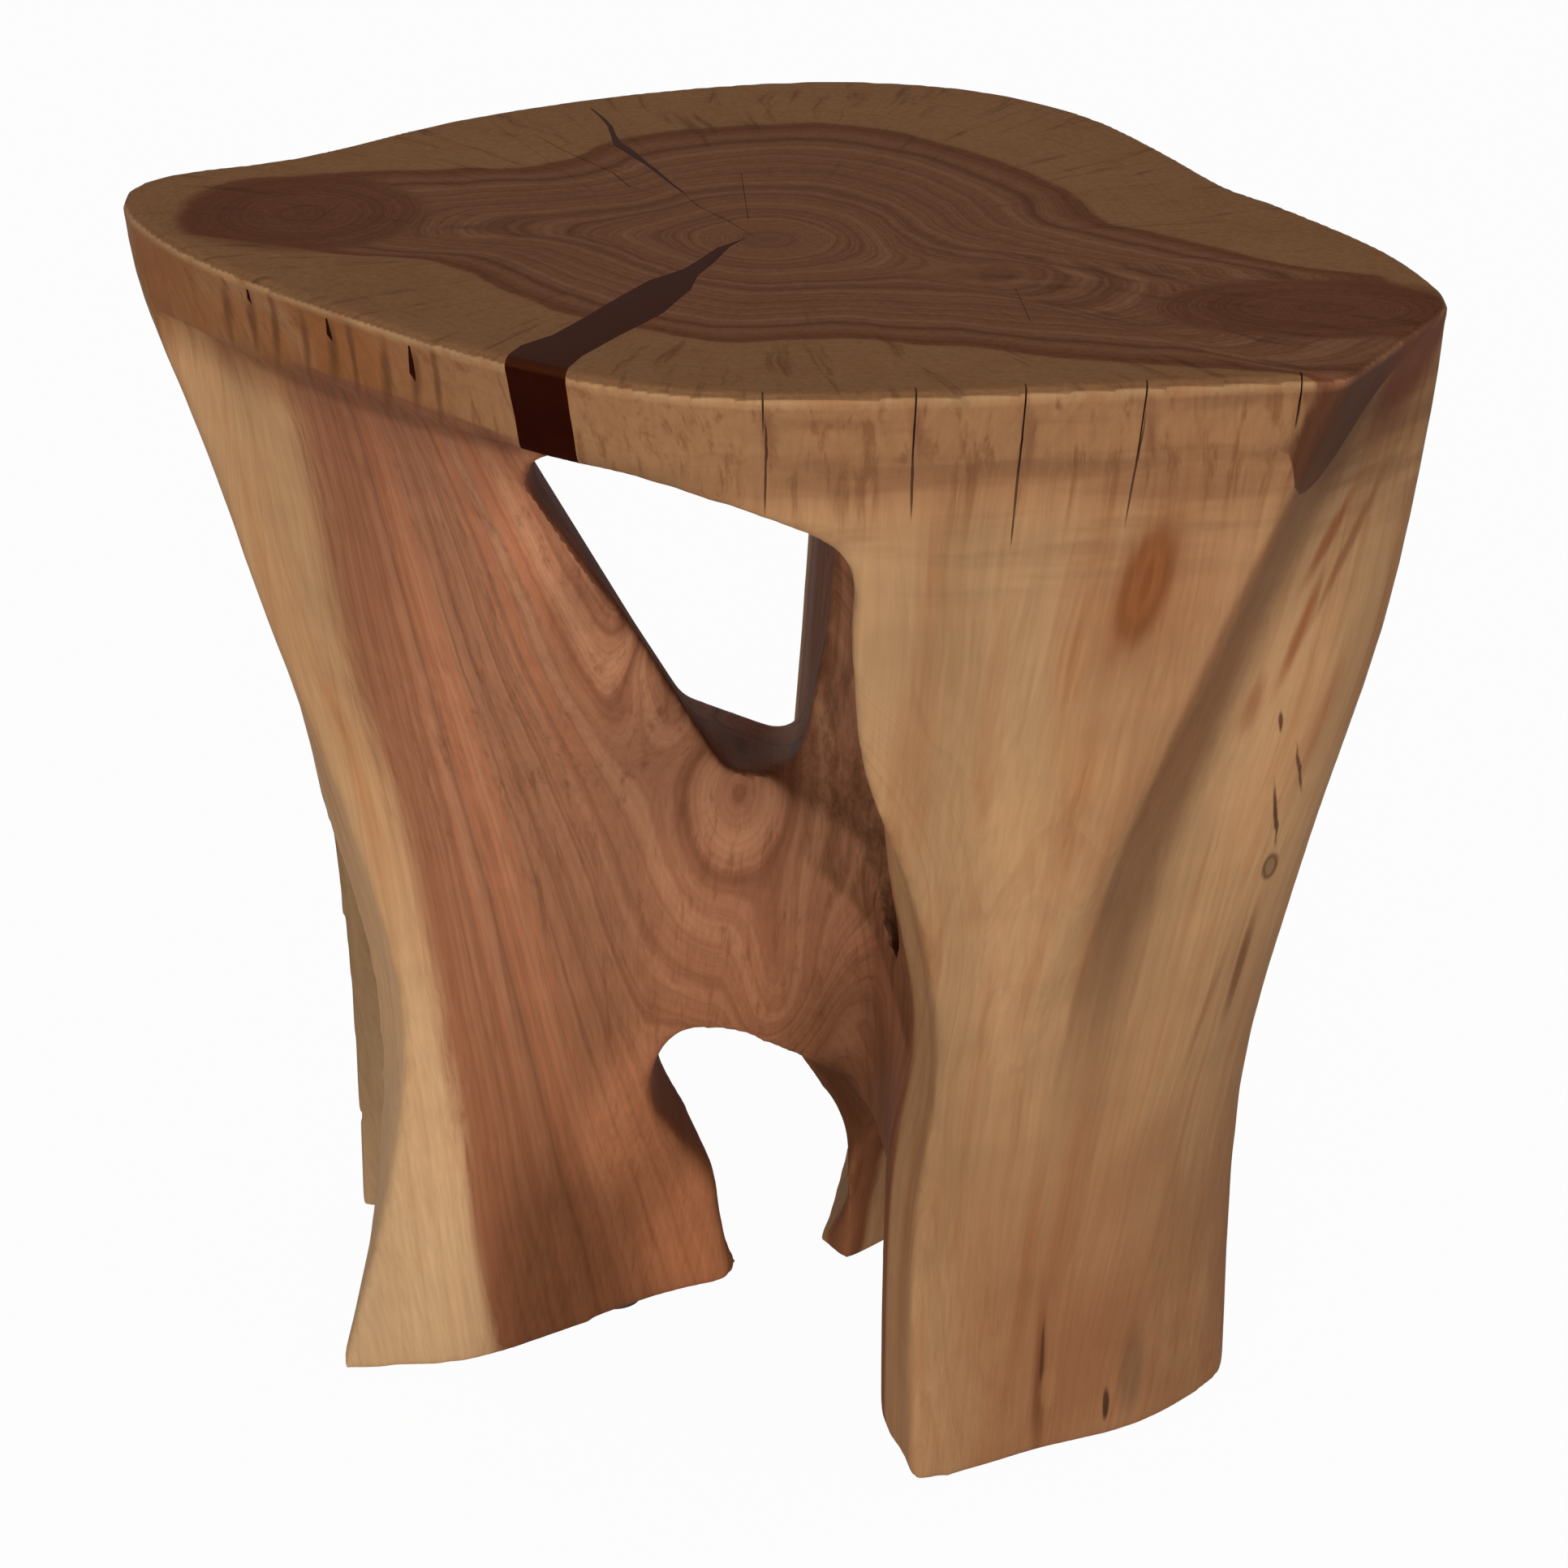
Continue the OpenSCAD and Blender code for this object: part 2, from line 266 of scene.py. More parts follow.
def hairlineCutters():
    cutters = []
    for route in hairlines["routes"]:
        banks = []
        for side in (-1, 1):
            bank = []
            for i in range(len(route)):
                along = Vector(route[min(i + 1, len(route) - 1)]) - Vector(route[max(i - 1, 0)])
                across = Vector((along.y, -along.x)).normalized() * hairlines["width"] / 2
                share = hairlines["tipShare"] if i in (0, len(route) - 1) else 1.0
                bank.append(tuple(Vector(route[i]) + across * side * share))
            banks.append(bank)
        crack = {"left": banks[0], "right": banks[1][::-1], "depth": hairlines["depth"]}
        cutters.append(makeCrackCutter(crack, 0.0))
    return joinPieces(cutters)


def cutWith(obj, cutter, operation="DIFFERENCE"):
    applyModifier(obj, "BOOLEAN", operation=operation, solver="EXACT", object=cutter)
    removePiece(cutter)


def castFiller(whole, name, cutter):
    filler = copyPiece(whole, name)
    cutWith(filler, cutter, "INTERSECT")
    return filler


for starter in ("Cube", "Light", "Camera"):
    if starter in bpy.data.objects:
        removePiece(bpy.data.objects[starter])
whole = carveWholeLog()
frontFiller = castFiller(whole, "frontFiller", makeCrackCutter(wideCrack, wideCrack["clearance"]))
backFiller = castFiller(whole, "backFiller", makeCrackCutter(backCrack, backCrack["clearance"]))
rimFiller = castFiller(whole, "rimFiller", rimBlades(rimCracks["clearance"]))
for cutter in (makeCrackCutter(wideCrack, 0.0), makeCrackCutter(backCrack, 0.0), rimBlades(0.0), splitBlades(),
               hairlineCutters()):
    cutWith(whole, cutter)
print("cracks filled:", [triangleCount(piece) for piece in (whole, frontFiller, backFiller, rimFiller)])


# Materials: colours are written as they look on screen, 0 to 255

def paint(red, green, blue):
    shares = [c / 255 for c in (red, green, blue)]
    return tuple(s / 12.92 if s <= 0.04 else ((s + 0.055) / 1.055) ** 2.4 for s in shares) + (1.0,)


def newFinish(name):
    finish = bpy.data.materials.new(name)
    finish.use_nodes = True
    tree = finish.node_tree
    place = addNode(tree, "ShaderNodeTexCoord").outputs["Object"]
    return finish, tree, tree.nodes["Principled BSDF"], place


def addNode(tree, kind, **settings):
    node = tree.nodes.new(kind)
    for key, value in settings.items():
        setattr(node, key, value)
    return node


def feed(tree, socket, value):
    if isinstance(value, bpy.types.NodeSocket):
        tree.links.new(value, socket)
    else:
        socket.default_value = value


def calc(tree, operation, a, b=0.0, c=0.0):
    node = addNode(tree, "ShaderNodeMath", operation=operation)
    for socket, value in zip(node.inputs, (a, b, c)):
        feed(tree, socket, value)
    return node.outputs[0]


def times(tree, *values):
    result = values[0]
    for value in values[1:]:
        result = calc(tree, "MULTIPLY", result, value)
    return result


def ease(tree, value, low, high):
    node = addNode(tree, "ShaderNodeMapRange", interpolation_type="SMOOTHSTEP")
    feed(tree, node.inputs["Value"], value)
    feed(tree, node.inputs["From Min"], low)
    feed(tree, node.inputs["From Max"], high)
    return node.outputs["Result"]


def blend(tree, share, a, b, mode="MIX"):
    node = addNode(tree, "ShaderNodeMix", data_type="RGBA", blend_type=mode, clamp_factor=True)
    feed(tree, node.inputs[0], share)
    feed(tree, node.inputs[6], a)
    feed(tree, node.inputs[7], b)
    return node.outputs[2]


def split(tree, vector):
    node = addNode(tree, "ShaderNodeSeparateXYZ")
    feed(tree, node.inputs[0], vector)
    return node.outputs


def speckle(tree, place, stretch, scale, detail, roughness):
    mapping = addNode(tree, "ShaderNodeMapping")
    feed(tree, mapping.inputs["Vector"], place)
    mapping.inputs["Scale"].default_value = stretch
    noise = addNode(tree, "ShaderNodeTexNoise")
    feed(tree, noise.inputs["Vector"], mapping.outputs[0])
    noise.inputs["Scale"].default_value = scale
    noise.inputs["Detail"].default_value = detail
    noise.inputs["Roughness"].default_value = roughness
    return noise


def curveOf(tree, value, points):
    node = addNode(tree, "ShaderNodeFloatCurve")
    curve = node.mapping.curves[0]
    curve.points[0].location = points[0]
    curve.points[-1].location = points[-1]
    for point in points[1:-1]:
        curve.points.new(*point)
    node.mapping.update()
    feed(tree, node.inputs["Value"], value)
    return node.outputs[0]


def ovalReach(tree, across, along, centre, size):
    sides = [calc(tree, "DIVIDE", calc(tree, "SUBTRACT", value, middle), half)
             for value, middle, half in zip((across, along), centre, size)]
    return calc(tree, "SQRT", calc(tree, "ADD", times(tree, sides[0], sides[0]), times(tree, sides[1], sides[1])))


def mixed(tree, share, a, b):
    return calc(tree, "MULTIPLY_ADD", calc(tree, "SUBTRACT", b, a), share, a)


def swayed(tree, noise, amount, value):
    return calc(tree, "MULTIPLY_ADD", calc(tree, "SUBTRACT", noise, 0.5), amount, value)


def joined(tree, *values):
    node = addNode(tree, "ShaderNodeCombineXYZ")
    for socket, value in zip(node.inputs, values):
        feed(tree, socket, value)
    return node.outputs[0]


def roughen(tree, shader, height, strength, depth):
    bump = addNode(tree, "ShaderNodeBump")
    bump.inputs["Strength"].default_value = strength
    bump.inputs["Distance"].default_value = depth
    feed(tree, bump.inputs["Height"], height)
    feed(tree, shader.inputs["Normal"], bump.outputs[0])


# How the log grew. The heartwood's edge is given round the pith as a share of a turn, from the left
# tip by way of the front, and its distance in quarter metres: on the top face, then below the rim.
logGrowth = {
    "pith": (-0.002, -0.022),
    "topEdge": [(0.0, 0.76), (0.02, 0.6), (0.05, 0.46), (0.1, 0.437), (0.16, 0.44), (0.205, 0.455), (0.24, 0.482),
                (0.275, 0.484), (0.32, 0.57), (0.36, 0.74), (0.372, 0.81), (0.387, 0.945), (0.394, 1.15), (0.42, 1.2),
                (0.448, 1.1), (0.48, 0.7), (0.51, 0.57), (0.54, 0.505), (0.58, 0.52), (0.63, 0.558), (0.68, 0.61),
                (0.72, 0.637), (0.76, 0.605), (0.81, 0.572), (0.86, 0.512), (0.89, 0.57), (0.93, 0.74),
                (0.965, 0.868), (1.0, 0.76)],
    "lowEdge": [(0.0, 0.66), (0.05, 0.68), (0.1, 0.66), (0.16, 0.6), (0.22, 0.52), (0.26, 0.46), (0.32, 0.47),
                (0.36, 0.56), (0.39, 0.6), (0.42, 0.6), (0.46, 0.55), (0.5, 0.52), (0.58, 0.5), (0.66, 0.52),
                (0.74, 0.55), (0.82, 0.52), (0.9, 0.6), (1.0, 0.66)],
    # the height above which the top face's edge holds, round the same turn
    "topStart": [(0.0, 0.43), (0.36, 0.43), (0.385, 0.43), (0.393, 0.413), (0.402, 0.413), (0.4227, 0.441),
                 (0.448, 0.456), (0.465, 0.456), (0.5, 0.43), (1.0, 0.43)],
    "curveUnit": 0.25, "rimStart": 0.43, "rimBlend": 0.008, "footShare": 0.63, "bend": 0.026,
    "bendNoise": ((1.0, 1.0, 0.3), 10.0, 4.0, 0.5),
    "roundSize": 0.135, "roundUntil": (0.02, 0.11), "crowding": 0.92, "ringsToEdge": 30.0,
}

# On the front left leg the rings run down and fan out from a point over it
legFan = {"apex": (-0.198, 0.69), "bend": 0.012, "rings": 72.0, "x": (0.0, -0.03), "z": (0.436, 0.426)}

# Branch hearts in the top face: middle, half sizes, and how far they lean outwards as they go down
branchHearts = {
    "places": [((-0.168, 0.010), (0.047, 0.049), -0.2), ((0.194, -0.105), (0.060, 0.034), 0.8)],
    "bend": 0.35, "fade": (1.12, 0.84), "z": (0.395, 0.44), "ringsFade": (0.3, 0.7), "rings": 13.0,
}

# Where the four legs meet, rings close round a cup under the window and part round a hill below it
hubSwirl = {
    "middle": (-0.009, 0.249), "size": (0.040, 0.058), "rings": 6.5, "inmost": 29.2, "tail": 0.25, "bend": 0.22,
    "fade": (2.2, 1.4), "x": (-0.06, -0.03), "y": (0.035, 0.015),
}
hubHill = {"middle": (0.006, 0.135), "size": (0.020, 0.070), "rings": 4.5, "fade": (1.3, 0.0)}

# Noises of the wood: whether it runs with the grain, stretch, scale, detail and roughness
woodNoises = {
    "fibres": (True, (1.0, 1.0, 0.025), 430.0, 3.0, 0.6),
    "strands": (True, (1.0, 1.0, 0.012), 170.0, 4.0, 0.7),
    "streaks": (True, (1.0, 1.0, 0.06), 62.0, 4.0, 0.6),
    "clouds": (False, (1.0, 1.0, 0.4), 13.0, 4.0, 0.55),
    "shimmer": (False, (0.3, 0.3, 1.0), 70.0, 2.0, 0.5),
    "waves": (False, (0.2, 0.2, 1.4), 60.0, 3.0, 0.5),
    "pores": (False, (1.0, 1.0, 1.0), 420.0, 3.0, 0.7),
}
# Noises along the rings: how far the streaks sway them, and their settings
ringNoises = {
    "year": {"sway": 0.9, "settings": {"Scale": 0.52, "Detail": 8.0, "Roughness": 0.66}},
    "broad": {"sway": 0.0, "settings": {"Scale": 0.3, "Detail": 3.0}},
}
# Fine checks along the rays of the top face: how many round the pith and outward, and their noise
rayChecks = {"round": 190.0, "outward": 17.0, "noise": ((1.0, 1.0, 1.0), 1.0, 3.0, 0.6)}
# Late wood ends each ring and thinner lines run between: how each line rises and falls over one ring
ringLines = {"rise": (0.4, 0.92), "fall": (1.0, 0.94), "years": (0.35, 0.6)}
thinRings = {"sway": 0.6, "count": 2.7, "rise": (0.3, 0.9), "fall": (1.0, 0.92)}
# The heart's border: how it sways, how softly it fades on top and sides, and where its dark rim begins
heartBorder = {
    "sway": 0.05, "sideSway": 0.12, "topFade": (1.02, 0.985), "sideFade": (1.05, 0.955), "rim": (0.8, 0.97),
}

# Where the wood's parts are: a value's name, with the two levels between which the part sets in
zones = {
    "topFace": ("z", seatTop - 0.0022, seatTop - 0.0008), "onSide": ("z", seatTop - 0.002, seatTop - 0.006),
    "nearRim": ("z", 0.4, 0.43), "front": ("y", -0.02, -0.05), "pocketStrands": ("strands", 0.35, 0.6),
}
# The corner over the front right leg, where dark heart comes down the side
rightCorner = {"places": ["onSide", ("x", 0.15, 0.17), ("z", 0.385, 0.4)], "strength": 0.85}

woodTones = {
    "sap": (190, 146, 103), "sapWarm": (176, 122, 80), "sapGrey": (166, 129, 92), "sapBrown": (160, 106, 70),
    "sapPale": (198, 160, 118), "rim": (164, 116, 78), "rimStreak": (126, 80, 50), "rimPatch": (152, 92, 48),
    "figure": (120, 78, 54), "heart": (158, 106, 77), "heartPale": (172, 120, 88), "heartDark": (116, 72, 50),
    "heartLow": (138, 84, 50), "heartWarm": (178, 112, 78), "edge": (136, 82, 55), "branch": (118, 66, 46),
    "line": (92, 54, 36), "streak": (142, 86, 52), "pocket": (84, 52, 30), "topSap": (170, 118, 79),
    "corner": (86, 52, 35), "ridgeShadow": (122, 86, 60),
}

# Layers of tone, laid one over the other: its tone, how much of it, and where. A place is a mask's name,
# or a value's name with the two levels between which it sets in.
sapLayers = [
    ("sapWarm", 1.0, [("streaks", 0.42, 0.74)]),
    ("sapGrey", 0.6, [("clouds", 0.45, 0.7)]),
    ("sapWarm", 0.35, [("year", 0.5, 0.75)]),
    ("sapBrown", 0.75, [("z", 0.24, 0.02), ("x", 0.03, 0.08), ("clouds", 0.3, 0.6)]),
    ("sapPale", 0.8, [("z", 0.3, 0.03), ("x", -0.06, -0.1)]),
    ("sapWarm", 0.5, [("strands", 0.55, 0.8), "onSide"]),
    ("rim", 0.8, ["onRim"]),
    ("rimStreak", 0.6, ["onRim", ("strands", 0.5, 0.66)]),
    ("rimPatch", 0.8, ["onRim", ("clouds", 0.42, 0.56), ("x", -0.08, -0.15)]),
    ("figure", 0.42, [("z", 0.365, 0.42), "onSide", ("x", -0.03, 0.03), ("waves", 0.44, 0.64)]),
    ("topSap", 0.75, ["topFace"]),
]
heartLayers = [
    ("heart", 1.0, [("year", 0.3, 0.52)]),
    ("heartDark", 0.6, [("year", 0.48, 0.7)]),
    ("heartDark", 0.6, [("strands", 0.5, 0.72), "onSide"]),
    ("heartLow", 0.65, [("z", 0.26, 0.03)]),
    ("heartWarm", 0.7, [("broad", 0.5, 0.62), "onSide", ("x", -0.05, -0.09)]),
    ("edge", 0.6, [("reach", *heartBorder["rim"]), "inner"]),
    ("corner", 1.0, ["corner"]),
]
coverLayers = [
    ("branch", 1.0, ["branches", "branchShare"]),
    ("line", 1.0, ["lateWood", "lineShare"]),
    ("line", 1.0, ["thinLines", "thinShare", "thinTopShare"]),
    ("line", 0.5, ["topFace", ("rays", 0.54, 0.72), ("away", 0.05, 0.14)]),
    ("streak", 0.55, [("streaks", 0.66, 0.76), ("x", 0.06, 0.12), ("y", 0.02, -0.04)]),
    # painted shade in the bowl of the pocket right of the hub, with strands of grain through it
    ("pocket", 1.0, [("across", 0.225, 0.232), ("x", 0.008, 0.024), ("x", 0.1, 0.08), ("y", -0.11, -0.09),
                     ("z", 0.4, 0.3), ("y", 0.07, 0.04), "pocketShare"]),
    # painted shadow: a grey-brown band just right of the ridge down the front right leg
    ("ridgeShadow", 0.78, [("past", -0.004, 0.0), ("past", 0.027, 0.011), ("z", 0.12, 0.25), ("z", 0.452, 0.436), "front",
                     "offCorner"]),
]
# Strengths that follow another value: which one, how much it adds when full, and the least
layerShares = {
    "branchShare": ("onSide", 0.3, 0.6), "thinTopShare": ("topFace", 0.5, 0.5), "lineShare": ("inner", 0.14, 0.08),
    "thinShare": ("inner", 0.16, 0.06), "pocketShare": ("pocketStrands", 0.35, 0.25),
}
# Layers of shade: a factor and where it holds
shadeLayers = [
    (0.84, ["topFace", ("pores", 0.3, 0.75)]),
    # painted shade on the rim band
    (0.78, ["onRim"]),
    (0.98, ["topFace"]),
    # painted shade along the top face's rounded edge
    (0.8, [("z", seatTop - 0.005, seatTop - 0.003), ("z", seatTop, seatTop - 0.0012)]),
    # painted shade under the front left rim
    (0.74, [("z", 0.437, 0.424), ("z", 0.417, 0.422), ("x", 0.0, -0.04), "front"]),
    (0.88, [("x", 0.0, 0.06), ("z", 0.44, 0.4)]),
]
# Shades and roughness are a gain and a least value
woodSurface = {
    "fibreShade": (0.4, 0.8), "shimmerShade": (0.16, 0.92), "roughness": (0.16, 0.42), "sheen": 0.03,
    "topSheen": 0.002, "bump": 0.15, "bumpDepth": 0.0006, "bumpShimmer": 1.2,
}

# The ridge down the front right leg: its place in X at each height, where the painted shadow band beside it begins
ridgeLine = [(0.0, 0.100), (0.15, 0.105), (0.2, 0.112), (0.25, 0.122), (0.294, 0.134), (0.339, 0.148), (0.37, 0.159),
             (0.409, 0.175), (0.442, 0.189), (0.463, 0.198)]

# Painted light and shade: broad areas of the sides made lighter or darker than the rest: middle and half size in X
# and Z, depth in Y, and by how much
paintedLightAndShade = {
    "fade": (1.0, 0.3), "soft": 0.01,
    "places": [
        ((-0.025, 0.035), (0.036, 0.060), (-0.16, 0.09), 1.9),
        ((-0.020, 0.175), (0.040, 0.100), (-0.12, 0.02), 1.4),
        ((-0.128, 0.190), (0.040, 0.240), (-0.14, 0.02), 1.18),
        ((-0.085, 0.040), (0.030, 0.080), (-0.16, 0.02), 0.75),
        ((0.062, 0.250), (0.024, 0.220), (-0.20, -0.09), 0.84),
        ((-0.015, 0.225), (0.060, 0.070), (0.03, 0.20), 1.5),
        ((-0.180, 0.170), (0.060, 0.250), (0.05, 0.21), 0.55),
        ((0.036, 0.090), (0.026, 0.050), (0.02, 0.20), 0.5),
        ((-0.052, 0.105), (0.030, 0.055), (-0.02, 0.12), 1.6),
        ((-0.078, 0.385), (0.026, 0.045), (-0.20, 0.05), 1.3),
        ((-0.050, 0.325), (0.022, 0.050), (-0.20, 0.05), 1.3),
        ((0.205, 0.425), (0.026, 0.042), (-0.20, -0.05), 0.76),
        ((0.036, 0.125), (0.030, 0.055), (-0.09, 0.06), 0.72),
        ((0.090, 0.4225), (0.125, 0.015), (-0.21, -0.1), 1.16),
        ((0.185, 0.300), (0.030, 0.110), (-0.20, -0.03), 1.18),
    ],
}

# Knots, splits and bark marks on the front right leg: middle and half sizes in X and Z, sideways lean,
# softness, strength and colour
legMarks = [
    ((0.150, 0.375), (0.0260, 0.0620), 0.30, 0.95, 0.50, (160, 106, 72)),
    ((0.129, 0.384), (0.0185, 0.0460), 0.22, 0.85, 0.85, (148, 92, 58)),
    ((0.130, 0.387), (0.0105, 0.0290), 0.20, 0.50, 0.86, (126, 74, 40)),
    ((0.1295, 0.388), (0.0070, 0.0230), 0.20, 0.60, 0.70, (152, 92, 54)),
    ((0.130, 0.388), (0.0022, 0.0150), 0.20, 0.70, 0.60, (126, 72, 40)),
    ((0.196, 0.388), (0.0045, 0.0260), 0.50, 0.80, 0.80, (150, 84, 50)),
    ((0.204, 0.380), (0.0030, 0.0400), 0.45, 0.80, 0.60, (128, 76, 48)),
    ((0.188, 0.352), (0.0040, 0.0340), 0.32, 0.80, 0.80, (146, 82, 48)),
    ((0.172, 0.325), (0.0046, 0.0180), 0.20, 0.80, 0.60, (150, 92, 58)),
    ((0.199, 0.310), (0.0055, 0.0480), 0.25, 0.90, 0.60, (150, 92, 60)),
    ((0.142, 0.315), (0.0200, 0.0700), 0.40, 0.95, 0.55, (148, 98, 64)),
    ((0.1835, 0.314), (0.0012, 0.0060), -0.10, 0.60, 0.90, (88, 50, 34)),
    ((0.1925, 0.290), (0.0009, 0.0160), -0.15, 0.60, 0.80, (74, 46, 30)),
    ((0.185, 0.272), (0.0011, 0.0200), -0.10, 0.60, 0.85, (62, 40, 26)),
    ((0.185, 0.247), (0.0042, 0.0075), 0.00, 0.40, 0.80, (84, 58, 38)),
    ((0.185, 0.247), (0.0024, 0.0052), 0.00, 0.40, 0.80, (158, 120, 84)),
    ((0.176, 0.205), (0.0034, 0.0340), 0.20, 0.80, 0.75, (120, 70, 42)),
    ((0.162, 0.190), (0.0030, 0.0400), 0.30, 0.90, 0.50, (140, 84, 52)),
    ((0.105, 0.040), (0.0040, 0.0550), 0.00, 0.80, 0.80, (112, 66, 38)),
    ((0.106, 0.048), (0.0012, 0.0220), 0.00, 0.50, 0.90, (66, 40, 24)),
    ((0.109, 0.034), (0.0045, 0.0120), 0.00, 0.50, 0.60, (176, 128, 84)),
    ((0.131, 0.020), (0.0018, 0.0100), 0.00, 0.50, 0.90, (52, 34, 24)),
    ((0.141, 0.034), (0.0070, 0.0300), 0.00, 0.70, 0.50, (112, 86, 62)),
    ((0.140, 0.130), (0.0200, 0.0500), 0.50, 0.95, 0.45, (150, 98, 66)),
    ((0.098, 0.090), (0.0050, 0.0800), 0.10, 0.90, 0.60, (150, 94, 58)),
    ((0.112, 0.110), (0.0100, 0.0900), 0.15, 0.95, 0.50, (148, 92, 58)),
    ((0.125, 0.050), (0.0300, 0.0600), 0.20, 0.95, 0.45, (148, 92, 60)),
    ((0.090, 0.310), (0.0300, 0.0700), 0.10, 0.95, 0.25, (206, 160, 112)),
    ((0.118, 0.250), (0.0060, 0.0700), 0.10, 0.95, 0.35, (160, 102, 64)),
]
# brown stains run beside the filled cracks of the rim: sideways, down, half sizes
rimStains = {
    "places": [(0.001, 0.020, 0.0028, 0.020), (0.009, 0.018, 0.0020, 0.026), (-0.010, 0.022, 0.0026, 0.022)],
    "look": (0.0, 0.8, 0.65, (96, 58, 34)),
}
for x, y in rimCracks["places"]:
    for across, down, wide, tall in rimStains["places"]:
        legMarks.append(((x + across, seatTop - down), (wide, tall), *rimStains["look"]))
# a brown stain runs down beside each split in the rim, and a dark line ends it
splitStain = {"aside": 0.001, "down": 0.3, "wide": 0.0042, "tall": 0.42, "look": (-0.05, 0.9, 0.5, (118, 74, 50))}
splitTip = {"down": 0.6, "wide": 0.0005, "tall": 0.48, "look": (0.3, 0.85, (62, 40, 28))}
for x, y, lean, drop in rimSplits["splits"]:
    middle = (x + splitStain["aside"], seatTop - drop * splitStain["down"])
    legMarks.append((middle, (splitStain["wide"], drop * splitStain["tall"]), *splitStain["look"]))
    middle = (x + lean * splitTip["down"], seatTop - drop * splitTip["down"])
    legMarks.append((middle, (splitTip["wide"], drop * splitTip["tall"]), -lean / drop, *splitTip["look"]))

# Ripples of burl in the top face: middle and half sizes in X and Y, lean, softness, strength and colour
topMarks = [
    ((0.121, -0.063), (0.0060, 0.0130), -0.90, 0.90, 0.60, (96, 58, 38)),
    ((0.112, -0.066), (0.0045, 0.0110), -0.90, 0.90, 0.55, (186, 132, 98)),
    ((0.129, -0.068), (0.0045, 0.0120), -0.90, 0.90, 0.55, (186, 132, 98)),
    ((0.137, -0.066), (0.0050, 0.0120), -0.90, 0.90, 0.50, (100, 62, 42)),
    ((0.084, -0.069), (0.0140, 0.0040), 0.00, 0.90, 0.50, (98, 60, 40)),
    ((0.094, -0.075), (0.0150, 0.0036), 0.00, 0.90, 0.50, (180, 128, 94)),
    ((0.104, -0.081), (0.0140, 0.0040), 0.00, 0.90, 0.45, (98, 60, 40)),
    ((-0.100, -0.020), (0.0130, 0.0045), 0.60, 0.90, 0.45, (178, 126, 94)),
    ((-0.108, -0.008), (0.0120, 0.0050), 0.60, 0.90, 0.45, (98, 60, 40)),
]
# How far the streaks push the marks aside
markWander = 0.006


def ringNoise(tree, rings, settings):
    noise = addNode(tree, "ShaderNodeTexNoise", noise_dimensions="1D")
    feed(tree, noise.inputs["W"], rings)
    for name, value in settings.items():
        noise.inputs[name].default_value = value
    return noise.outputs["Fac"]


def ringLine(tree, rings, look):
    part = calc(tree, "FRACT", rings)
    return times(tree, ease(tree, part, *look["rise"]), ease(tree, part, *look["fall"]))


def heartReach(tree, flared, away, turn, z):
    start = curveOf(tree, turn, logGrowth["topStart"])
    nearTop = ease(tree, z, start, calc(tree, "ADD", start, logGrowth["rimBlend"]))
    edge = mixed(tree, nearTop, curveOf(tree, turn, logGrowth["lowEdge"]), curveOf(tree, turn, logGrowth["topEdge"]))
    return calc(tree, "DIVIDE", away, calc(tree, "MULTIPLY", edge, logGrowth["curveUnit"]))


def logRings(tree, away, reach):
    # the first rings are circles, and further out they take the heart's outline
    circles = calc(tree, "DIVIDE", away, logGrowth["roundSize"])
    rings = mixed(tree, ease(tree, away, *logGrowth["roundUntil"]), circles, reach)
    return times(tree, calc(tree, "POWER", rings, logGrowth["crowding"]), logGrowth["ringsToEdge"])


def fanRings(tree, x, z, bend, rings):
    apex = legFan["apex"]
    aside = swayed(tree, bend, legFan["bend"], calc(tree, "SUBTRACT", x, apex[0]))
    fan = times(tree, calc(tree, "DIVIDE", aside, calc(tree, "SUBTRACT", apex[1], z)), legFan["rings"])
    onLeg = times(tree, ease(tree, x, *legFan["x"]), ease(tree, z, *legFan["z"]))
    return mixed(tree, onLeg, rings, fan)


def hubRings(tree, x, y, z, bend, rings):
    below = calc(tree, "MAXIMUM", calc(tree, "SUBTRACT", hubSwirl["middle"][1], z), 0.0)
    droop = times(tree, below, hubSwirl["tail"])
    swirl = ovalReach(tree, x, calc(tree, "ADD", z, droop), hubSwirl["middle"], hubSwirl["size"])
    swirl = swayed(tree, bend, hubSwirl["bend"], swirl)
    hill = ease(tree, ovalReach(tree, x, z, hubHill["middle"], hubHill["size"]), *hubHill["fade"])
    closed = calc(tree, "MULTIPLY_ADD", swirl, -hubSwirl["rings"], hubSwirl["inmost"])
    closed = calc(tree, "MULTIPLY_ADD", hill, hubHill["rings"], closed)
    onHub = times(tree, ease(tree, swirl, *hubSwirl["fade"]), ease(tree, x, *hubSwirl["x"]),
                  ease(tree, y, *hubSwirl["y"]))
    return mixed(tree, onHub, rings, closed)


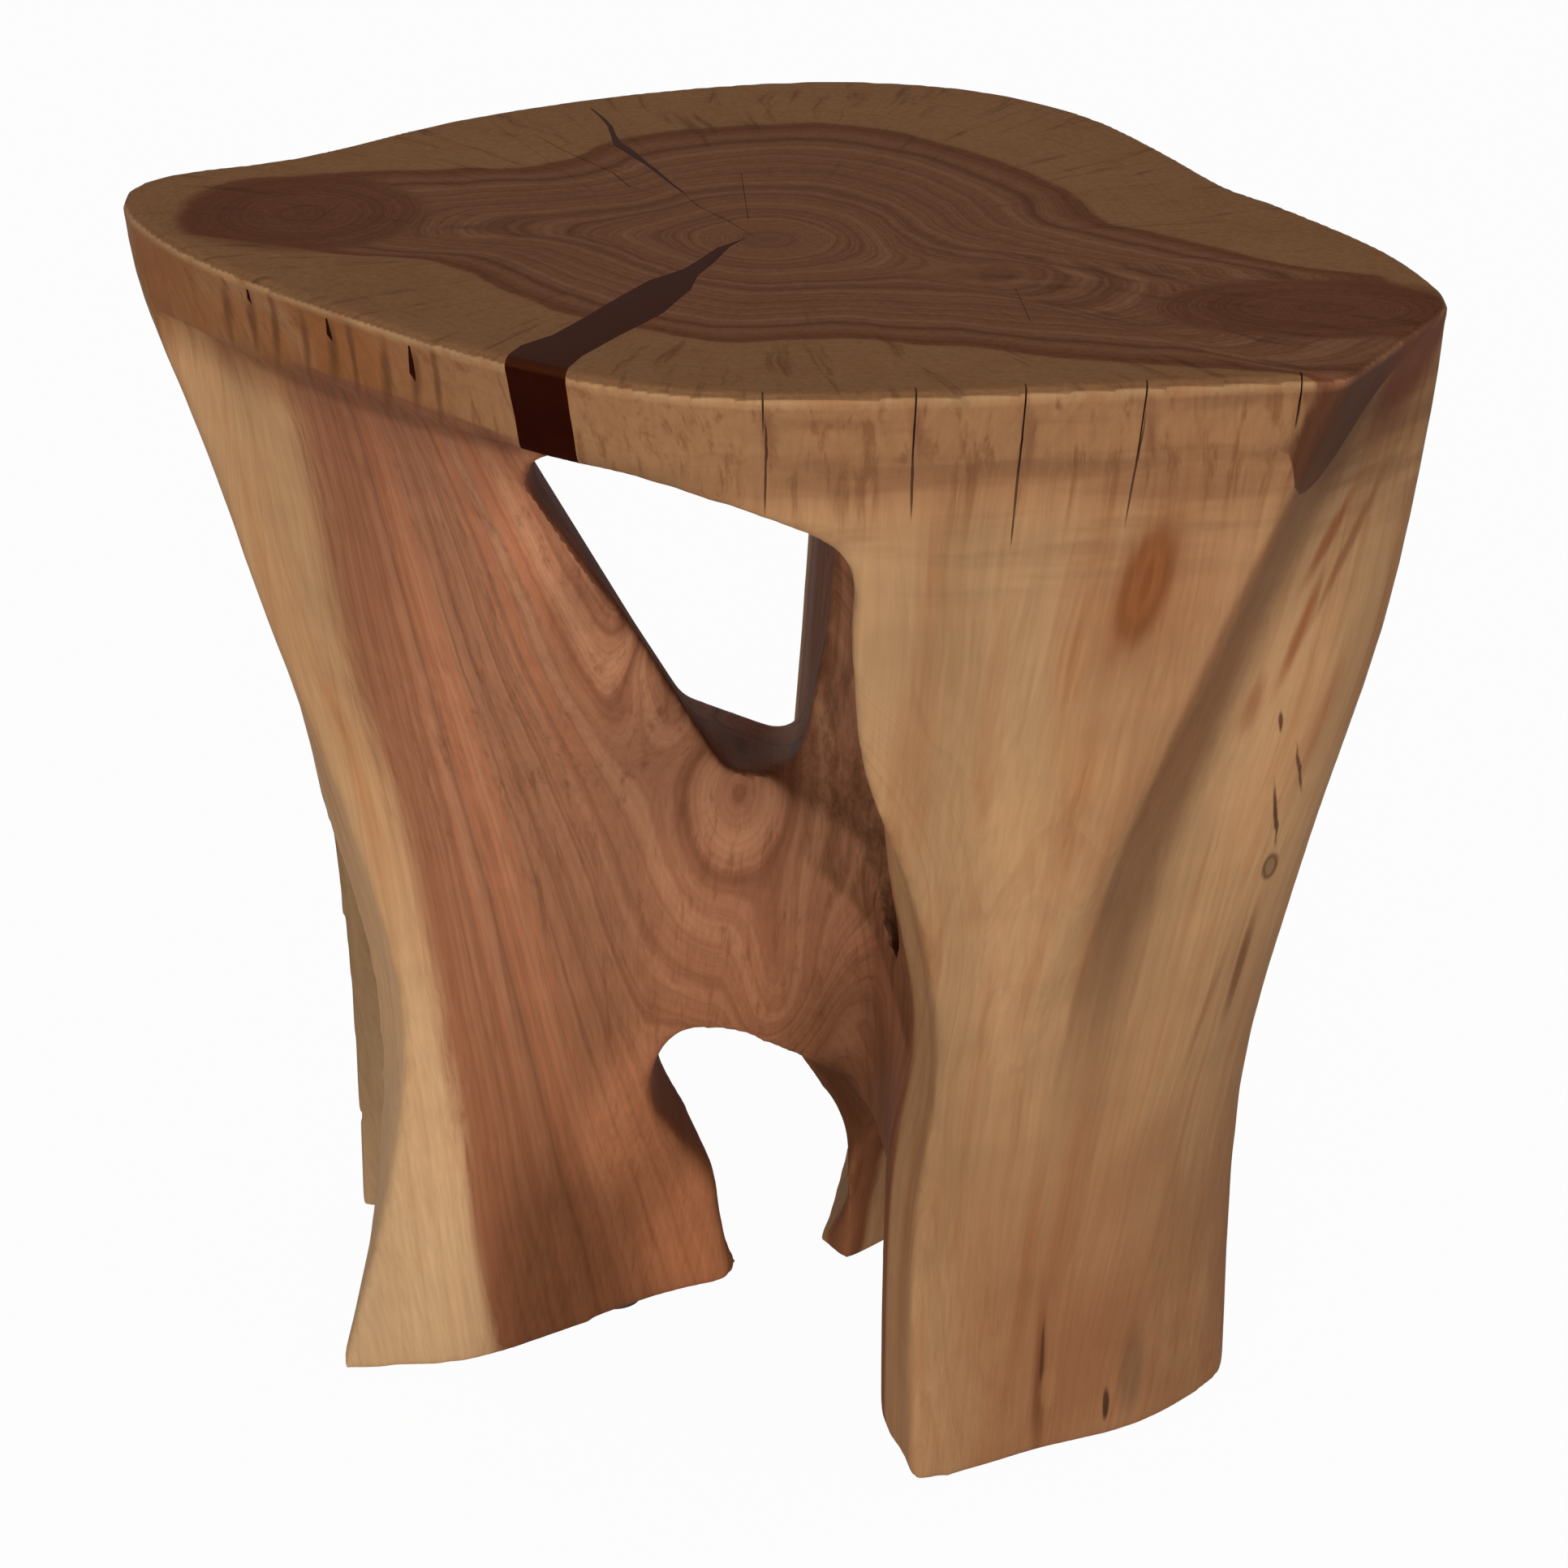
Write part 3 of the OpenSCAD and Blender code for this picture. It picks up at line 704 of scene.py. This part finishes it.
def growWood(tree, place):
    x, y, z = split(tree, place)
    bendNoise = split(tree, speckle(tree, place, *logGrowth["bendNoise"]).outputs["Color"])
    taper = addNode(tree, "ShaderNodeMapRange")
    feed(tree, taper.inputs["Value"], z)
    taper.inputs["From Max"].default_value = logGrowth["rimStart"]
    taper.inputs["To Min"].default_value = logGrowth["footShare"]
    flared = []
    for value, noise, middle in zip((x, y), bendNoise, logGrowth["pith"]):
        moved = swayed(tree, noise, logGrowth["bend"], calc(tree, "SUBTRACT", value, middle))
        flared.append(calc(tree, "DIVIDE", moved, taper.outputs[0]))
    away = ovalReach(tree, flared[0], flared[1], (0.0, 0.0), (1.0, 1.0))
    turn = calc(tree, "MULTIPLY_ADD", calc(tree, "ARCTAN2", flared[1], flared[0]), 0.5 / math.pi, 0.5)
    reach = heartReach(tree, flared, away, turn, z)
    rings = logRings(tree, away, reach)
    rings = fanRings(tree, x, z, bendNoise[0], rings)
    rings = hubRings(tree, x, y, z, bendNoise[2], rings)
    branches = 0.0
    for middle, size, lean in branchHearts["places"]:
        leant = calc(tree, "ADD", x, times(tree, calc(tree, "SUBTRACT", seatTop, z), lean))
        span = swayed(tree, bendNoise[2], branchHearts["bend"], ovalReach(tree, leant, y, middle, size))
        mask = times(tree, ease(tree, span, *branchHearts["fade"]), ease(tree, z, *branchHearts["z"]))
        closed = times(tree, span, branchHearts["rings"])
        rings = mixed(tree, ease(tree, mask, *branchHearts["ringsFade"]), rings, closed)
        branches = calc(tree, "MAXIMUM", branches, mask)
    return {"x": x, "y": y, "z": z, "reach": reach, "rings": rings, "branches": branches, "away": away, "turn": turn,
            "flared": joined(tree, flared[0], flared[1], z)}


def layerMask(tree, values, places, strength):
    parts = [values[step] if isinstance(step, str) else ease(tree, values[step[0]], *step[1:]) for step in places]
    return times(tree, *parts, strength)


def layTones(tree, values, tone, layers):
    for name, strength, places in layers:
        tone = blend(tree, layerMask(tree, values, places, strength), tone, paint(*woodTones[name]))
    return tone


def layMarks(tree, values, tone, marks, along, masks):
    wander = swayed(tree, values["streaks"], markWander, values["x"])
    for middle, size, lean, soft, strength, colour in marks:
        leant = calc(tree, "MULTIPLY_ADD", calc(tree, "SUBTRACT", values[along], middle[1]), -lean, wander)
        span = ovalReach(tree, leant, values[along], middle, size)
        parts = [ease(tree, span, 1.0, 1.0 - soft)] + [values[name] for name in masks]
        tone = blend(tree, times(tree, *parts, strength), tone, paint(*colour))
    return tone


def addNoises(tree, values, place):
    for name, (withGrain, *settings) in woodNoises.items():
        values[name] = speckle(tree, values["flared"] if withGrain else place, *settings).outputs["Fac"]
    rayPlace = joined(tree, times(tree, values["turn"], rayChecks["round"]),
                      times(tree, values["away"], rayChecks["outward"]), 0.0)
    values["rays"] = speckle(tree, rayPlace, *rayChecks["noise"]).outputs["Fac"]


def addRings(tree, values):
    rings, streaks = values["rings"], values["streaks"]
    for name, noise in ringNoises.items():
        moved = calc(tree, "MULTIPLY_ADD", streaks, noise["sway"], rings)
        values[name] = ringNoise(tree, moved, noise["settings"])
    strongYears = ease(tree, values["year"], *ringLines["years"])
    values["lateWood"] = times(tree, ringLine(tree, rings, ringLines), strongYears)
    thin = calc(tree, "MULTIPLY_ADD", streaks, thinRings["sway"], times(tree, rings, thinRings["count"]))
    values["thinLines"] = ringLine(tree, thin, thinRings)


def addZones(tree, values):
    for name, (source, low, high) in zones.items():
        values[name] = ease(tree, values[source], low, high)
    values["onRim"] = times(tree, values["nearRim"], values["onSide"])
    values["across"] = calc(tree, "ADD", values["x"], values["z"])
    sideSway = times(tree, values["onSide"], heartBorder["sideSway"])
    border = swayed(tree, values["streaks"], heartBorder["sway"], values["reach"])
    border = swayed(tree, values["strands"], sideSway, border)
    fade = [mixed(tree, values["onSide"], top, side)
            for top, side in zip(heartBorder["topFade"], heartBorder["sideFade"])]
    values["inner"] = ease(tree, border, *fade)
    values["corner"] = layerMask(tree, values, rightCorner["places"], rightCorner["strength"])
    values["offCorner"] = calc(tree, "SUBTRACT", 1.0, times(tree, values["corner"], values["inner"]))
    unit = logGrowth["curveUnit"]
    line = [(height / seatTop, across / unit) for height, across in ridgeLine]
    ridge = times(tree, curveOf(tree, calc(tree, "DIVIDE", values["z"], seatTop), line), unit)
    values["past"] = calc(tree, "SUBTRACT", values["x"], ridge)
    for name, (source, gain, least) in layerShares.items():
        values[name] = calc(tree, "MULTIPLY_ADD", values[source], gain, least)


def woodShade(tree, values):
    shade = times(tree, calc(tree, "MULTIPLY_ADD", values["fibres"], *woodSurface["fibreShade"]),
                  calc(tree, "MULTIPLY_ADD", values["shimmer"], *woodSurface["shimmerShade"]))
    for factor, places in shadeLayers:
        shade = times(tree, shade, mixed(tree, layerMask(tree, values, places, 1.0), 1.0, factor))
    # painted light and shade: broad areas of the sides lit up or darkened
    soft = paintedLightAndShade["soft"]
    for middle, size, (near, far), factor in paintedLightAndShade["places"]:
        span = ovalReach(tree, values["x"], values["z"], middle, size)
        mask = times(tree, ease(tree, values["y"], near - soft, near), ease(tree, values["y"], far + soft, far))
        mask = times(tree, mask, ease(tree, span, *paintedLightAndShade["fade"]), values["onSide"])
        shade = times(tree, shade, mixed(tree, mask, 1.0, factor))
    return shade


def woodFinish():
    finish, tree, shader, place = newFinish("oiledWood")
    values = growWood(tree, place)
    addNoises(tree, values, place)
    addRings(tree, values)
    addZones(tree, values)
    sapTone = layTones(tree, values, paint(*woodTones["sap"]), sapLayers)
    heartTone = layTones(tree, values, paint(*woodTones["heartPale"]), heartLayers)
    tone = blend(tree, values["inner"], sapTone, heartTone)
    tone = layTones(tree, values, tone, coverLayers)
    tone = layMarks(tree, values, tone, legMarks, "z", ("front", "onSide"))
    tone = layMarks(tree, values, tone, topMarks, "y", ("topFace",))
    grey = addNode(tree, "ShaderNodeCombineColor")
    shade = woodShade(tree, values)
    for socket in grey.inputs[:3]:
        feed(tree, socket, shade)
    # the tone is multiplied by the shade, which holds the painted light and shade
    feed(tree, shader.inputs["Base Color"], blend(tree, 1.0, tone, grey.outputs[0], "MULTIPLY"))
    feed(tree, shader.inputs["Roughness"], calc(tree, "MULTIPLY_ADD", values["fibres"], *woodSurface["roughness"]))
    sheen = mixed(tree, values["topFace"], woodSurface["sheen"], woodSurface["topSheen"])
    feed(tree, shader.inputs["Specular IOR Level"], sheen)
    height = calc(tree, "MULTIPLY_ADD", values["shimmer"], woodSurface["bumpShimmer"], values["fibres"])
    roughen(tree, shader, height, woodSurface["bump"], woodSurface["bumpDepth"])
    return finish


fillerLook = {
    "noise": ((1.0, 1.0, 1.0), 60.0, 3.0, 0.5), "side": [(34, 6, 3), (48, 16, 8)], "top": (78, 36, 18),
    "roughness": (0.1, 0.2), "sheen": 0.002,
}


def fillerFinish():
    finish, tree, shader, place = newFinish("castFiller")
    clouds = speckle(tree, place, *fillerLook["noise"]).outputs["Fac"]
    side = blend(tree, clouds, *(paint(*tone) for tone in fillerLook["side"]))
    topFace = ease(tree, split(tree, place)[2], *zones["topFace"][1:])
    feed(tree, shader.inputs["Base Color"], blend(tree, topFace, side, paint(*fillerLook["top"])))
    feed(tree, shader.inputs["Roughness"], calc(tree, "MULTIPLY_ADD", clouds, *fillerLook["roughness"]))
    shader.inputs["Specular IOR Level"].default_value = fillerLook["sheen"]
    return finish


feltLook = {
    "noise": ((1.0, 1.0, 1.0), 900.0, 3.0, 0.7), "tones": [(44, 41, 39), (86, 81, 76)], "roughness": 0.95,
    "bump": 0.5, "bumpDepth": 0.0004,
}


def feltFinish():
    finish, tree, shader, place = newFinish("padFelt")
    fluff = speckle(tree, place, *feltLook["noise"]).outputs["Fac"]
    feed(tree, shader.inputs["Base Color"], blend(tree, fluff, *(paint(*tone) for tone in feltLook["tones"])))
    shader.inputs["Roughness"].default_value = feltLook["roughness"]
    roughen(tree, shader, fluff, feltLook["bump"], feltLook["bumpDepth"])
    return finish


def dress(obj, finish):
    obj.data.materials.clear()
    obj.data.materials.append(finish)


oiledWood, castFiller, padFelt = woodFinish(), fillerFinish(), feltFinish()
dress(whole, oiledWood)
for filler in (frontFiller, backFiller, rimFiller):
    dress(filler, castFiller)
for node in ("front_left_pads", "front_right_pads", "back_left_pads", "back_right_pads"):
    dress(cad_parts[node], padFelt)
print("materials made")


# Floor, light and camera

studio = {
    "floor": 12.0, "floorPaint": (238, 238, 238), "floorRoughness": 0.9, "floorGlow": 0.97,
    "sky": (1.0, 1.0, 1.0, 1.0), "skyLight": 0.3, "seenPlain": ("Is Glossy Ray", "Is Transmission Ray"),
}

lamps = [
    {"name": "keyLamp", "place": (-0.5, -2.65, 0.55), "looksAt": (0.0, 0.0, 0.22), "size": 1.3, "watts": 42.0},
    {"name": "fillLamp", "place": (2.0, -1.4, 0.6), "looksAt": (0.0, 0.0, 0.22), "size": 1.4, "watts": 5.0},
]

# The camera of the photograph
photoView = {"place": (0.008, -1.5904, 0.9308), "looksAt": (0.008, 0.0145, 0.233), "lens": 103.7, "sensor": 36.0}


def floorFinish():
    finish, tree, shader = newFinish("paleFloor")[:3]
    shader.inputs["Base Color"].default_value = paint(*studio["floorPaint"])
    shader.inputs["Roughness"].default_value = studio["floorRoughness"]
    bright = addNode(tree, "ShaderNodeEmission")
    path = addNode(tree, "ShaderNodeLightPath")
    mix = addNode(tree, "ShaderNodeMixShader")
    feed(tree, mix.inputs[0], times(tree, path.outputs["Is Camera Ray"], studio["floorGlow"]))
    feed(tree, mix.inputs[1], shader.outputs[0])
    feed(tree, mix.inputs[2], bright.outputs[0])
    feed(tree, tree.nodes["Material Output"].inputs["Surface"], mix.outputs[0])
    return finish


def layFloor():
    deselectAll()
    bpy.ops.mesh.primitive_plane_add(size=studio["floor"])
    floor = bpy.context.object
    floor.name = "floor"
    dress(floor, floorFinish())


def lightSky():
    world = bpy.data.worlds.new("paleWorld")
    world.use_nodes = True
    tree = world.node_tree
    sky = tree.nodes["Background"]
    sky.inputs["Color"].default_value = studio["sky"]
    path = addNode(tree, "ShaderNodeLightPath")
    seen = path.outputs["Is Camera Ray"]
    for kind in studio["seenPlain"]:
        seen = calc(tree, "MAXIMUM", seen, path.outputs[kind])
    feed(tree, sky.inputs["Strength"], calc(tree, "MULTIPLY_ADD", seen, 1.0 - studio["skyLight"], studio["skyLight"]))
    bpy.context.scene.world = world


def hangLamps():
    for lamp in lamps:
        light = bpy.data.lights.new(lamp["name"], "AREA")
        light.shape = "DISK"
        light.size = lamp["size"]
        light.energy = lamp["watts"]
        aim(bpy.data.objects.new(lamp["name"], light), lamp)


def aim(holder, view):
    bpy.context.scene.collection.objects.link(holder)
    holder.location = view["place"]
    line = Vector(view["looksAt"]) - Vector(view["place"])
    holder.rotation_euler = line.to_track_quat("-Z", "Y").to_euler()


def placeCamera():
    camera = bpy.data.cameras.new("photoCamera")
    camera.lens = photoView["lens"]
    camera.sensor_width = photoView["sensor"]
    holder = bpy.data.objects.new("photoCamera", camera)
    aim(holder, photoView)
    bpy.context.scene.camera = holder


layFloor()
lightSky()
hangLamps()
placeCamera()
bpy.context.scene.view_settings.view_transform = "Standard"
print("studio lit")

smoothAngle = math.radians(38)
for piece, node, slot in (
    (whole, "carved_body", "wood"),
    (frontFiller, "front_crack_fill", "filler"),
    (backFiller, "back_crack_fill", "filler"),
    (rimFiller, "rim_crack_fills", "filler"),
):
    choose(piece)
    bpy.ops.object.shade_smooth_by_angle(angle=smoothAngle)
    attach(piece, "root")
    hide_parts(node)
